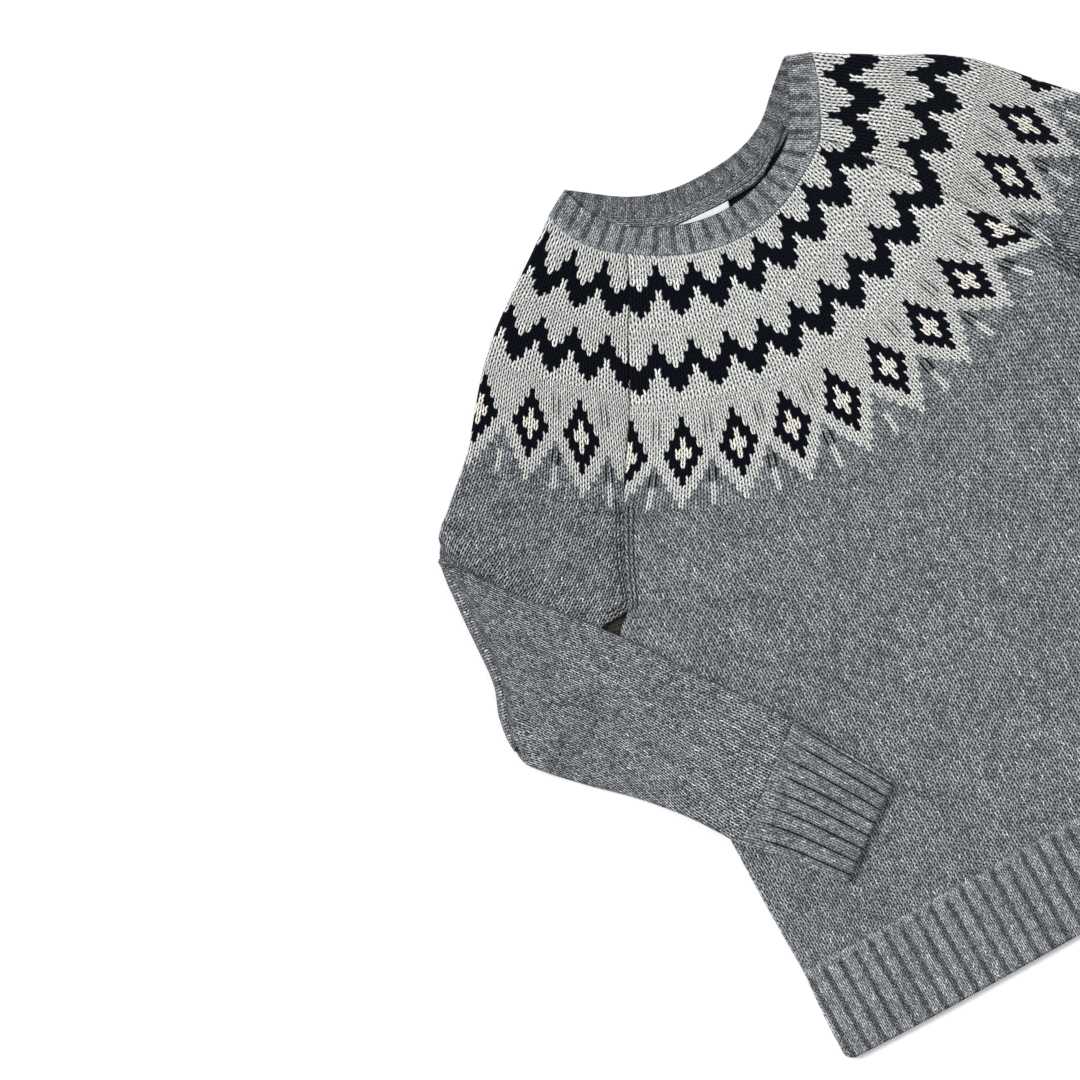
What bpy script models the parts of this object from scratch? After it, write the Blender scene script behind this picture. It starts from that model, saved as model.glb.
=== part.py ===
"""Fair isle jumper laid flat on its back, with both sleeves folded in at the elbow.

The jumper is a raglan: front, back, two sleeves, a ribbed neckband, two ribbed cuffs
and a ribbed hem, with a tape over the back neck seam and a bare woven label under it.
Every piece is a wall of knitted cloth. The front lies on the back and each forearm
lies on its own upper arm and on the front.

Measures are in millimetres. A point of the cut is (across, drop): across runs from the
centre line towards the sleeves, drop runs down from the line between the neck points.
"""
import math

import bpy
import bmesh
from mathutils import Vector

NAME = "fair_isle_jumper"
MM = 0.001

# Cloth and how its layers lie
WALL = 2.4                      # thickness of the knitted cloth
EDGE_RADIUS = 3.3               # radius of a flattened tube's edge
LAID = 2.0 * EDGE_RADIUS        # two layers lying on each other
FOLD_INNER = 0.4                # radius left inside the elbow fold
FOLD_CENTRE = LAID + FOLD_INNER
FOREARM_LIFT = LAID + 2.0 * FOLD_INNER
SEAM_GAP = 0.3                  # between two pieces at a seam
CUFF_GAP = 0.9                  # at the cuff seam, where the tube also narrows
NECK_GAP = 0.95                 # at the neck seam, which is curved
NECKBAND_WIDTH = 24.0
DRAPE_RUN = 35.0                # length over which the forearm comes down to the floor
DRAPE_START = 16.0              # past the edge of what it lies on

# How a layer's edge is made: columns are inset and rise of a rounded edge and
# inset of a flat one, all as shares of EDGE_RADIUS, from the edge inwards
EDGE = (
    (0.00, 0.05, 0.00),
    (0.00, 0.24, 0.06),
    (0.30, 0.72, 0.50),
    (1.00, 1.00, 1.00),
)

# Rows of the front and back: half width, drop at the side, drop at the centre,
# power of the curve between them, and 1 where the side edge turns down to a side seam
NECK_TOP_FRONT = (67.0, 52.3, 74.5, 2.0, 0.0)
NECK_SEAM_FRONT = (82.0, 66.0, 98.0, 2.0, 0.0)
FRONT_ROWS = (
    NECK_SEAM_FRONT,
    (93.0, 89.0, 118.0, 2.2, 0.0),
    (116.0, 124.0, 156.0, 2.4, 0.0),
    (140.0, 166.0, 205.0, 2.4, 0.0),
    (174.0, 217.0, 262.0, 2.4, 0.0),
    (203.0, 270.0, 298.0, 2.2, 0.0),
    (217.0, 300.0, 318.0, 2.0, 0.0),
    (223.0, 311.0, 327.0, 2.0, 0.35),
    (229.0, 322.0, 336.0, 2.0, 0.75),
    (230.0, 340.0, 350.0, 2.0, 0.95),
    (229.0, 365.0, 371.0, 2.0, 1.0),
    (229.0, 400.0, 402.0, 2.0, 1.0),
    (235.0, 485.0, 485.0, 2.0, 1.0),
    (236.0, 545.0, 545.0, 2.0, 1.0),
    (236.0, 600.0, 600.0, 2.0, 1.0),
)
NECK_TOP_BACK = (70.0, 22.0, 43.0, 2.5, 0.0)
NECK_SEAM_BACK = (84.0, 42.0, 66.0, 2.0, 0.0)
BACK_ROWS = (
    NECK_SEAM_BACK,
    (95.0, 76.0, 96.0, 2.0, 0.0),
    (116.0, 120.0, 140.0, 2.2, 0.0),
    (141.0, 165.0, 190.0, 2.4, 0.0),
    (174.0, 217.0, 245.0, 2.4, 0.0),
    (203.0, 270.0, 290.0, 2.2, 0.0),
) + FRONT_ROWS[6:]
HEM_ROWS = (
    (236.0, 600.0, 600.0, 2.0, 1.0),
    (239.0, 640.0, 641.0, 2.0, 1.0),
    (240.0, 667.0, 670.0, 2.0, 1.0),
    (237.0, 674.0, 677.0, 4.0, 1.0),
)

# Rows of the upper arm down to the armpit: over edge (across, drop) and bow of the
# front layer's row. The row's other ends are the raglan seams, the sides of the front
# and back rows.
NECK_TOP_OVER = ((96.0, 2.0), 6.0)
NECK_SEAM_OVER = ((116.0, 13.0), 7.5)
RAGLAN_ROWS = (
    NECK_SEAM_OVER,
    ((147.0, 35.0), 3.0),
    ((187.0, 62.0), 0.0),
    ((220.0, 90.0), 0.0),
    ((245.0, 118.0), 0.0),
    ((266.0, 141.0), 0.0),
    ((286.0, 158.0), 0.0),
)
# Below the armpit: over edge, underarm edge, and how far the layers turn down to the
# underarm seam
ELBOW_OVER = (326.0, 196.0)
ELBOW_UNDER = (346.0, 350.0)
UNDERARM_ROWS = (
    ((293.0, 164.0), (232.0, 300.5), 0.35),
    ((300.0, 170.0), (250.0, 304.0), 0.75),
    ((306.0, 176.0), (274.0, 313.0), 0.95),
    ((312.0, 184.0), (305.0, 328.0), 1.0),
)
# The forearm lies folded back over the body: over edge, then underarm edge
FOREARM_ROWS = (
    ((303.0, 224.0), (331.0, 375.0)),
    ((279.0, 255.0), (310.0, 397.0)),
    ((251.0, 289.0), (288.0, 418.0)),
    ((222.0, 327.0), (270.0, 437.0)),
    ((196.0, 366.0), (254.0, 456.0)),
    ((172.0, 400.0), (240.0, 477.0)),
    ((150.0, 431.0), (231.0, 492.0)),
)
CUFF_ROWS = (
    ((150.0, 431.0), (231.0, 492.0)),
    ((136.0, 457.0), (207.0, 516.0)),
    ((122.0, 482.0), (191.0, 536.0)),
    ((108.0, 508.0), (175.0, 557.0)),
)

# Neck tape and label, on the inside of the back neck
TAPE_HALF = 66.0
TAPE_DROP = 59.5
TAPE_DEPTH = 9.5
TAPE_SAG = 22.0
TAPE_WALL = 0.9
LABEL_LEFT = -40.0
LABEL_RIGHT = 6.0
LABEL_DEPTH = 20.0
LABEL_WALL = 0.6

# The jumper doesn't lie quite evenly: its neck sits to the left of its body,
# and its right shoulder is pushed up and out
NECK_SHIFT = -3.0
BODY_SHIFT = 4.0
SHIFT_END = 190.0
SHOULDER_LIFT = 14.0
ARM_LIFT = 7.0
YOKE_EASE = 8.0
COLLAR_EASE = -3.5

# Mesh density
FRONT_COLUMNS = 18
BACK_COLUMNS = 12
ARM_COLUMNS = 6
OVER_COLUMNS = 4
BEND_ROWS = 6

# Colours, linear
GREY_MARL = (0.170, 0.173, 0.178, 1.0)
RIB_GREY = (0.185, 0.183, 0.176, 1.0)
LIGHT_GREY = (0.480, 0.495, 0.470, 1.0)
LABEL_WHITE = (0.820, 0.840, 0.850, 1.0)


def mix(a, b, share):
    """The value that lies a share of the way from a to b."""
    return a + (b - a) * share


def smooth(start, end, value):
    """0 before start, 1 after end and an even S between them."""
    t = min(max((value - start) / (end - start), 0.0), 1.0)
    return t * t * (3.0 - 2.0 * t)


def laid(across, drop):
    """Where a point of the even cut comes to lie on the table, as (x, y)."""
    shift = mix(NECK_SHIFT, BODY_SHIFT, smooth(0.0, SHIFT_END, drop))
    fade = 1.0 - smooth(250.0, 420.0, drop)
    lift = SHOULDER_LIFT * smooth(40.0, 160.0, across)
    lift -= (SHOULDER_LIFT - ARM_LIFT) * smooth(180.0, 240.0, across)
    ease = COLLAR_EASE * smooth(0.0, 28.0, drop)
    ease += (YOKE_EASE - COLLAR_EASE) * smooth(45.0, 80.0, drop)
    x = across + shift + ease * smooth(50.0, 90.0, across) * fade
    return x, -(drop - lift * fade)


def edge_column(index, turned):
    """Inset and rise, in millimetres, of one column of a layer's edge."""
    inset_round, rise_round, inset_flat = EDGE[index]
    inset = mix(inset_flat, inset_round, turned) * EDGE_RADIUS
    rise = mix(1.0, rise_round, turned) * EDGE_RADIUS
    return inset, rise


def panel_columns(row, count):
    """(across, rise) of each column of a front or back row, left to right."""
    half = row[0]
    turned = row[4]
    edges = [edge_column(index, turned) for index in range(len(EDGE))]
    left = [(-(half - inset), rise) for inset, rise in edges]
    inner = half - EDGE_RADIUS
    middle = [(mix(-inner, inner, k / count), EDGE_RADIUS) for k in range(1, count)]
    right = [(-across, rise) for across, rise in reversed(left)]
    return left + middle + right


def panel_row(row, count, face, inset=0.0, lower=0.0):
    """Points of one row of the front (face 1) or the back (face -1).

    inset draws the row's ends in from the seams, lower shifts it down the body.
    """
    half, side_drop, centre_drop, power, turned = row
    drawn_in = (half - inset, side_drop, centre_drop, power, turned)
    points = []
    for across, rise in panel_columns(drawn_in, count):
        share = min(abs(across) / half, 1.0) ** power
        drop = mix(centre_drop, side_drop, share) + lower
        x, y = laid(across, drop)
        points.append((x, y, EDGE_RADIUS + face * rise))
    return points


def ring_columns(width_front, width_back, turned):
    """(distance from the over edge, height, share of the turn to the back layer).

    The ring starts at the front seam, goes over the arm and ends at the back seam.
    """
    edges = [edge_column(index, turned) for index in range(len(EDGE))]
    columns = [(width_front - inset, EDGE_RADIUS + rise, 0.0) for inset, rise in edges]
    for k in range(1, ARM_COLUMNS + 1):
        columns.append((mix(width_front - EDGE_RADIUS, EDGE_RADIUS, k / ARM_COLUMNS), LAID, 0.0))
    for k in range(1, OVER_COLUMNS):
        angle = math.pi * k / OVER_COLUMNS
        distance = EDGE_RADIUS * (1.0 - math.sin(angle))
        columns.append((distance, EDGE_RADIUS * (1.0 + math.cos(angle)), k / OVER_COLUMNS))
    for k in range(ARM_COLUMNS):
        columns.append((mix(EDGE_RADIUS, width_back - EDGE_RADIUS, k / ARM_COLUMNS), 0.0, 1.0))
    columns += [(width_back - inset, EDGE_RADIUS - rise, 1.0) for inset, rise in reversed(edges)]
    return columns


def across_row(over, end, distance, bow):
    """A point at a distance from the over edge, on a row bowed down the arm."""
    span = Vector(end) - Vector(over)
    share = distance / span.length
    outward = Vector((span.y, -span.x)).normalized()
    return Vector(over) + span * share + outward * (bow * 4.0 * share * (1.0 - share))


def arm_ring(over, front, back, bow=0.0, turned=1.0, inset=0.0):
    """(across, drop, height) round one row of a sleeve, in the even cut."""
    width_front = (Vector(front) - Vector(over)).length
    width_back = (Vector(back) - Vector(over)).length
    ring = []
    for distance, height, turn in ring_columns(width_front - inset, width_back - inset, turned):
        top = across_row(over, front, distance, bow)
        under = across_row(over, back, distance, 0.0)
        point = top.lerp(under, turn)
        ring.append((point.x, point.y, height))
    return ring


def shifted(ring, step):
    """The ring moved along the arm by step = (across, drop)."""
    return [(across + step[0], drop + step[1], height) for across, drop, height in ring]


def side_half(drop):
    """Half width of the body at a drop below the armpit."""
    rows = FRONT_ROWS[6:]
    for upper, lower in zip(rows, rows[1:]):
        if drop <= lower[1]:
            share = max((drop - upper[1]) / (lower[1] - upper[1]), 0.0)
            return mix(upper[0], lower[0], share)
    return rows[-1][0]


def forearm_height(across, drop):
    """How high the folded forearm's underside lies: on the layers below it, or down
    on the floor in the open corner between the upper arm and the body."""
    start = Vector(UNDERARM_ROWS[1][1])
    along = (Vector(ELBOW_UNDER) - start).normalized()
    past_arm = (Vector((across, drop)) - start).dot(Vector((-along.y, along.x)))
    past_body = across - side_half(drop)
    end = DRAPE_START + DRAPE_RUN
    open_share = smooth(DRAPE_START, end, past_arm) * smooth(DRAPE_START, end, past_body)
    return FOREARM_LIFT * (1.0 - open_share)


def folded_over(ring):
    """A row of the forearm turned over, with its back layer on top."""
    return [(across, drop, LAID - height + forearm_height(across, drop))
            for across, drop, height in ring]


def bend_rings():
    """The rows of the elbow fold, from the upper arm round to the forearm."""
    along = (Vector(ELBOW_UNDER) - Vector(ELBOW_OVER)).normalized()
    outward = Vector((along.y, -along.x))
    over = Vector(ELBOW_OVER) - outward * FOLD_CENTRE
    under = Vector(ELBOW_UNDER) - outward * FOLD_CENTRE
    base = arm_ring(over, under, under)
    rings = []
    for k in range(BEND_ROWS + 1):
        angle = math.pi * k / BEND_ROWS
        ring = []
        for across, drop, height in base:
            radius = FOLD_CENTRE - height
            reach = outward * (radius * math.sin(angle))
            ring.append((across + reach.x, drop + reach.y, FOLD_CENTRE - radius * math.cos(angle)))
        rings.append(ring)
    return rings


def sleeve_rings():
    """All rows of a sleeve from the neck seam to the cuff seam."""
    rings = []
    for arm, front, back in zip(RAGLAN_ROWS, FRONT_ROWS, BACK_ROWS):
        over, bow = arm
        rings.append(arm_ring(over, front[:2], back[:2], bow, 0.0, SEAM_GAP / 2.0))
    for over, under, turned in UNDERARM_ROWS:
        rings.append(arm_ring(over, under, under, turned=turned))
    rings += bend_rings()
    for over, under in FOREARM_ROWS:
        rings.append(folded_over(arm_ring(over, under, under)))
    return rings


def cuff_rings():
    """All rows of a cuff, from its seam with the sleeve to its open end."""
    start = (Vector(CUFF_ROWS[0][0]) + Vector(CUFF_ROWS[0][1])) / 2.0
    end = (Vector(CUFF_ROWS[-1][0]) + Vector(CUFF_ROWS[-1][1])) / 2.0
    step = (end - start).normalized() * CUFF_GAP
    rings = [folded_over(arm_ring(over, under, under)) for over, under in CUFF_ROWS]
    rings[0] = shifted(rings[0], step)
    return rings


def neck_ring(front_row, back_row, over_row):
    """One closed row of the neckband: front, left side, back and right side."""
    over, bow = over_row
    side = arm_ring(over, front_row[:2], back_row[:2], bow, 0.0)
    left = []
    right = []
    for across, drop, height in side:
        for points, mirrored in ((left, -across), (right, across)):
            x, y = laid(mirrored, drop)
            points.append((x, y, height))
    front = panel_row(front_row, FRONT_COLUMNS, 1.0)
    back = panel_row(back_row, BACK_COLUMNS, -1.0)
    return list(reversed(front))[:-1] + left[:-1] + back[:-1] + list(reversed(right))[:-1]


def cloth_material(name, colour, roughness):
    """A plain material of one colour and roughness."""
    material = bpy.data.materials.new(name)
    material.use_nodes = True
    shader = material.node_tree.nodes["Principled BSDF"]
    shader.inputs["Base Color"].default_value = colour
    shader.inputs["Roughness"].default_value = roughness
    shader.inputs["Metallic"].default_value = 0.0
    return material


def cloth(name, rows, colour, collection, wall=WALL, outward=1.0, closed=False, roughness=0.9):
    """A wall of cloth on a grid of points, one list of points for each row.

    The points are the cloth's outer face. outward is 1 where that face looks up in the
    layer that a row starts with and -1 where it looks down, and closed joins each row's
    end to its start.
    """
    columns = len(rows[0])
    steps = columns if closed else columns - 1
    mesh = bpy.data.meshes.new(name)
    grid = bmesh.new()
    bmesh.ops.create_grid(grid, x_segments=steps, y_segments=len(rows) - 1, size=1.0)
    for vertex in grid.verts:
        column = round((vertex.co.x + 1.0) / 2.0 * steps) % columns
        row = round((vertex.co.y + 1.0) / 2.0 * (len(rows) - 1))
        vertex.co = Vector(rows[row][column]) * MM
    if closed:
        bmesh.ops.remove_doubles(grid, verts=grid.verts, dist=0.01 * MM)
    grid.faces.ensure_lookup_table()
    grid.normal_update()
    if grid.faces[len(EDGE)].normal.z * outward < 0.0:
        bmesh.ops.reverse_faces(grid, faces=grid.faces)
    grid.to_mesh(mesh)
    grid.free()
    mesh.shade_smooth()
    mesh.materials.append(cloth_material(name, colour, roughness))
    piece = bpy.data.objects.new(name, mesh)
    collection.objects.link(piece)
    thickness = piece.modifiers.new("wall", "SOLIDIFY")
    thickness.thickness = wall * MM
    thickness.offset = -1.0
    return piece


def clear_scene():
    """Take away whatever the file starts with."""
    for item in list(bpy.data.objects):
        bpy.data.objects.remove(item, do_unlink=True)


def build_body(collection):
    """The front and the back, from the neckband seam to the hem seam."""
    half_gap = SEAM_GAP / 2.0
    for name, rows, columns, face in (("front", FRONT_ROWS, FRONT_COLUMNS, 1.0),
                                      ("back", BACK_ROWS, BACK_COLUMNS, -1.0)):
        points = []
        for index, row in enumerate(rows):
            inset = half_gap if row[4] == 0.0 else 0.0
            lower = half_gap if index == 0 else 0.0
            points.append(panel_row(row, columns, face, inset, lower))
        cloth(name, points, GREY_MARL, collection, outward=face)


def build_hem(collection):
    """The ribbed hem, one piece on the front and one on the back."""
    for name, columns, face in (("hem_front", FRONT_COLUMNS, 1.0), ("hem_back", BACK_COLUMNS, -1.0)):
        points = [panel_row(row, columns, face) for row in HEM_ROWS]
        points[0] = panel_row(HEM_ROWS[0], columns, face, lower=SEAM_GAP)
        cloth(name, points, RIB_GREY, collection, outward=face)


def build_sleeves(collection):
    """Both sleeves with their cuffs, each the mirror of the other in the cut."""
    for side_name, side in (("left", -1.0), ("right", 1.0)):
        for name, rings, colour in (("sleeve_", sleeve_rings(), GREY_MARL),
                                    ("cuff_", cuff_rings(), RIB_GREY)):
            points = []
            for ring in rings:
                row = []
                for across, drop, height in ring:
                    x, y = laid(side * across, drop)
                    row.append((x, y, height))
                points.append(row)
            # a sleeve starts with its front layer on top, a cuff with it underneath
            outward = 1.0 if name == "sleeve_" else -1.0
            cloth(name + side_name, points, colour, collection, outward=outward)


def build_neckband(collection):
    """The ribbed neckband, one closed ring."""
    top = neck_ring(NECK_TOP_FRONT, NECK_TOP_BACK, NECK_TOP_OVER)
    seam = neck_ring(NECK_SEAM_FRONT, NECK_SEAM_BACK, NECK_SEAM_OVER)
    rows = []
    for share in (NECK_GAP / NECKBAND_WIDTH, 0.5, 1.0):
        rows.append([tuple(mix(a, b, share) for a, b in zip(p, q)) for p, q in zip(seam, top)])
    cloth("neckband", rows, RIB_GREY, collection, closed=True)


def tape_drop(across):
    """Drop of the tape's upper edge."""
    return TAPE_DROP - TAPE_SAG * (abs(across) / TAPE_HALF) ** 2.0


def build_neck_trims(collection):
    """The tape over the back neck seam and the bare label below it."""
    tape_top = WALL + SEAM_GAP + TAPE_WALL
    label_top = WALL + SEAM_GAP + LABEL_WALL
    rows = []
    for k in range(2):
        row = []
        for column in range(BACK_COLUMNS + 1):
            across = mix(-TAPE_HALF, TAPE_HALF, column / BACK_COLUMNS)
            x, y = laid(across, tape_drop(across) + TAPE_DEPTH * k)
            row.append((x, y, tape_top))
        rows.append(row)
    cloth("neck_tape", rows, GREY_MARL, collection, wall=TAPE_WALL)
    rows = []
    for k in range(3):
        row = []
        for column in range(5):
            across = mix(LABEL_LEFT, LABEL_RIGHT, column / 4)
            drop = tape_drop(across) + TAPE_DEPTH + SEAM_GAP + LABEL_DEPTH * k / 2
            x, y = laid(across, drop)
            row.append((x, y, label_top))
        rows.append(row)
    cloth("neck_label", rows, LABEL_WHITE, collection, wall=LABEL_WALL, roughness=0.6)


def centre_on_floor(collection):
    """Put the middle of the laid jumper over the origin, resting on the floor."""
    bpy.context.view_layer.update()
    graph = bpy.context.evaluated_depsgraph_get()
    corners = []
    for piece in collection.objects:
        evaluated = piece.evaluated_get(graph)
        corners += [evaluated.matrix_world @ Vector(corner) for corner in evaluated.bound_box]
    low = [min(corner[axis] for corner in corners) for axis in range(3)]
    high = [max(corner[axis] for corner in corners) for axis in range(3)]
    middle = Vector(((low[0] + high[0]) / 2.0, (low[1] + high[1]) / 2.0, low[2]))
    for piece in collection.objects:
        piece.location -= middle


def build():
    """The whole jumper."""
    clear_scene()
    collection = bpy.data.collections.new(NAME)
    bpy.context.scene.collection.children.link(collection)
    build_body(collection)
    build_hem(collection)
    build_sleeves(collection)
    build_neckband(collection)
    build_neck_trims(collection)
    centre_on_floor(collection)


build()
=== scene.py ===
"""Looks of the fair isle jumper that lies flat with both sleeves folded in.

Every piece is a shell of knitted cloth on its solid's form. Sizes are in millimetres
until a mesh is made, and (across, drop) is the even cut before the jumper is laid down.
"""
import math

import bpy
import numpy as np
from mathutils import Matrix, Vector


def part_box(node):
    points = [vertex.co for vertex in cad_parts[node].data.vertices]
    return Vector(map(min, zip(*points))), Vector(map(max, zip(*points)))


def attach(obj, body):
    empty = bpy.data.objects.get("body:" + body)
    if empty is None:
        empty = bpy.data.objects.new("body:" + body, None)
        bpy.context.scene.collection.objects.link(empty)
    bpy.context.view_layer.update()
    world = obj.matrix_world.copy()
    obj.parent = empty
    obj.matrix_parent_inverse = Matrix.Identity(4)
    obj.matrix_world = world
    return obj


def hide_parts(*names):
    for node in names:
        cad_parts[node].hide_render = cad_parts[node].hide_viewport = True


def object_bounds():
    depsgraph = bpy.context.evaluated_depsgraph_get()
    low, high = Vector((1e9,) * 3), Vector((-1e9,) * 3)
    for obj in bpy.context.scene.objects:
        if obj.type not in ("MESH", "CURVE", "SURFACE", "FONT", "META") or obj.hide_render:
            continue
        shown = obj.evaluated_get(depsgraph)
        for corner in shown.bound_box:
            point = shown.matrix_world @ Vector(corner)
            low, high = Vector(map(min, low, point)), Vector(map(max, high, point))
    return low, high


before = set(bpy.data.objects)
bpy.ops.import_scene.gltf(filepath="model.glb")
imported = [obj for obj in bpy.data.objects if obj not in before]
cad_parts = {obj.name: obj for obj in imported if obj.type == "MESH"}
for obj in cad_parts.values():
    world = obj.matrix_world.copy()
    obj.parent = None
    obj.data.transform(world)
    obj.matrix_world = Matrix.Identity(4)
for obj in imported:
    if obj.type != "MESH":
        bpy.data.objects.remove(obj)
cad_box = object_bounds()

MM = 0.001

# Cloth and how its layers lie, as in the solids
EDGE_RADIUS = 3.3
LAID = 2.0 * EDGE_RADIUS
FOLD_INNER = 0.4
FOLD_CENTRE = LAID + FOLD_INNER
FOREARM_LIFT = LAID + 2.0 * FOLD_INNER
NECKBAND_WIDTH = 24.0
DRAPE_START = 16.0
DRAPE_RUN = 35.0
SHELL_WALL = 2.0                # thickness of the shells

# Front and back rows: half width, drop at the side, drop at the centre, power of the
# curve between them, and how far the side edge turns down to a side seam
NECK_TOP_FRONT = (67.0, 52.3, 74.5, 2.0, 0.0)
NECK_SEAM_FRONT = (82.0, 66.0, 98.0, 2.0, 0.0)
FRONT_ROWS = (
    NECK_SEAM_FRONT,
    (93.0, 89.0, 118.0, 2.2, 0.0),
    (116.0, 124.0, 156.0, 2.4, 0.0),
    (140.0, 166.0, 205.0, 2.4, 0.0),
    (174.0, 217.0, 262.0, 2.4, 0.0),
    (203.0, 270.0, 298.0, 2.2, 0.0),
    (217.0, 300.0, 318.0, 2.0, 0.0),
    (228.0, 308.5, 327.0, 2.0, 0.35),
    (233.5, 320.0, 336.0, 2.0, 0.75),
    (231.0, 340.0, 350.0, 2.0, 0.95),
    (229.0, 365.0, 371.0, 2.0, 1.0),
    (229.0, 400.0, 402.0, 2.0, 1.0),
    (235.0, 485.0, 485.0, 2.0, 1.0),
    (236.0, 545.0, 545.0, 2.0, 1.0),
    (236.0, 600.0, 600.0, 2.0, 1.0),
)
NECK_TOP_BACK = (70.0, 22.0, 43.0, 2.5, 0.0)
NECK_SEAM_BACK = (84.0, 42.0, 66.0, 2.0, 0.0)
BACK_ROWS = (
    NECK_SEAM_BACK,
    (95.0, 76.0, 96.0, 2.0, 0.0),
    (116.0, 120.0, 140.0, 2.2, 0.0),
    (141.0, 165.0, 190.0, 2.4, 0.0),
    (174.0, 217.0, 245.0, 2.4, 0.0),
    (203.0, 270.0, 290.0, 2.2, 0.0),
    (217.0, 300.0, 318.0, 2.0, 0.0),
    # the back stands out further than the front in the armpit's corner
    (243.0, 299.0, 327.0, 2.0, 0.2),
    (250.0, 314.0, 336.0, 2.0, 0.3),
    (242.0, 338.0, 350.0, 2.0, 0.8),
) + FRONT_ROWS[10:]
HEM_ROWS = (
    (236.0, 600.0, 600.0, 2.0, 1.0),
    (239.0, 640.0, 641.0, 2.0, 1.0),
    (240.0, 667.0, 670.0, 2.0, 1.0),
    (237.0, 674.0, 677.0, 4.0, 1.0),
)

# Courses of knitting counted from the neckband seam, at drops on the centre line
COURSES = (
    (98.0, 0.1),
    (101.5, 1.0),
    (121.0, 6.0),
    (142.3, 11.8),
    (156.5, 15.0),
    (176.5, 20.0),
    (198.0, 25.8),
    (212.5, 29.0),
    (240.0, 35.8),
    (269.0, 43.8),
    (286.5, 48.8),
    (600.0, 136.0),
)
COURSE = 3.6                    # height of a course below the yoke
COURSE_CENTRE = -5.0            # where the laid front's courses hang lowest
SAG_AT = 90.0
SAG_ROUNDS = 14
# Centre drop of a course, and how much higher it lies at SAG_AT from its lowest place
COURSE_SAG = (
    (98.0, 36.5),
    (121.0, 31.0),
    (156.0, 21.0),
    (177.0, 20.0),
    (212.0, 17.0),
    (241.0, 15.0),
    (290.0, 15.0),
    (400.0, 7.0),
    (560.0, 0.0),
)

# Sleeve rows down to the elbow: over edge (across, drop), bow, courses counted to the
# over edge and to the seam, and how far the courses bow down the arm
NECK_TOP_OVER = ((96.0, 2.0), 6.0)
NECK_SEAM_OVER = ((116.0, 13.0), 7.5)
RAGLAN_ROWS = (
    (116.0, 13.0, 7.5, 0.0, 0.0, 0.0),
    (147.0, 35.0, 3.0, 5.8, 4.6, 0.0),
    (187.0, 62.0, 0.0, 18.8, 15.8, -3.0),
    (220.0, 90.0, 0.0, 29.0, 28.4, -2.0),
    (245.0, 118.0, 0.0, 38.7, 43.2, 0.0),
    (266.0, 141.0, 0.0, 47.3, 60.0, 2.0),
    (286.0, 158.0, 0.0, 54.6, 69.2, 5.0),
)
# Below the armpit: over edge, underarm edge, turn down to the seam, courses to the over
# edge and to the underarm edge, bow of the courses
UNDERARM_ROWS = (
    (293.0, 164.0, 232.0, 300.5, 0.35, 57.1, 73.3, 9.0),
    (300.0, 170.0, 250.0, 304.0, 0.75, 59.7, 78.4, 10.0),
    (308.5, 176.0, 274.0, 313.0, 0.95, 62.1, 85.5, 9.0),
    (317.5, 185.5, 305.0, 328.0, 1.0, 64.9, 95.1, 7.0),
)
ELBOW_OVER = (326.0, 196.0)
ELBOW_UNDER = (346.0, 350.0)
ELBOW_COURSES = (70.0, 107.9)
ELBOW_BOW = 5.0
# The elbow's fold line beside a straight one: share of its length, and how far out it lies
ELBOW_LINE = (
    (0.0, -4.0),
    (0.12, -3.5),
    (0.35, -5.0),
    (0.5, -6.5),
    (0.6, -7.5),
    (0.68, -7.0),
    (0.74, -4.5),
    (0.8, -2.0),
    (0.88, -1.0),
    (0.94, -1.2),
    (1.0, -3.0),
)
FOREARM_ROWS = (
    (311.0, 211.0, 342.5, 360.0),
    (303.0, 224.0, 331.0, 375.0),
    (279.0, 255.0, 310.0, 397.0),
    (251.0, 289.0, 288.0, 418.0),
    (222.0, 327.0, 270.0, 437.0),
    (196.0, 366.0, 254.0, 456.0),
    (172.0, 400.0, 240.0, 477.0),
    (150.0, 431.0, 231.0, 492.0),
)
CUFF_COURSE = 155.0
CUFF_ROWS = (
    (150.0, 431.0, 231.0, 492.0),
    (136.0, 457.0, 207.0, 516.0),
    (122.0, 482.0, 191.0, 536.0),
    (108.0, 508.0, 175.0, 557.0),
)

# Neck tape where it lies: across, drop of its upper edge and of its lower edge
TAPE_EDGES = (
    (-86.0, 34.0, 45.0),
    (-75.0, 41.0, 52.5),
    (-60.0, 49.0, 60.5),
    (-45.0, 55.3, 66.3),
    (-20.0, 59.0, 68.4),
    (0.0, 59.5, 69.6),
    (25.0, 57.3, 69.2),
    (32.0, 55.0, 67.5),
    (45.0, 48.5, 60.0),
    (58.0, 43.0, 50.0),
    (66.0, 39.0, 42.0),
)
LABEL_ENDS = (-43.0, 3.0)
LABEL_DEPTH = 20.0

NECK_SHIFT = -3.0
BODY_SHIFT = 4.0
SHIFT_END = 190.0
SHOULDER_LIFT = 14.0
ARM_LIFT = 7.0
YOKE_EASE = 8.0
COLLAR_EASE = -3.5

# How the right sleeve's yoke differs from the left one's: at a course, the courses to add,
# the turn round the arm and the stretch round it
RIGHT_YOKE = (
    (0.0, 0.0, 22.0, 1.3),
    (5.0, 1.8, 22.0, 1.28),
    (18.0, 1.5, 14.0, 1.1),
    (31.0, 0.0, 9.0, 1.12),
    (50.0, 0.0, 8.0, 1.14),
    (75.0, 0.0, 0.0, 1.0),
)

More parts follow.
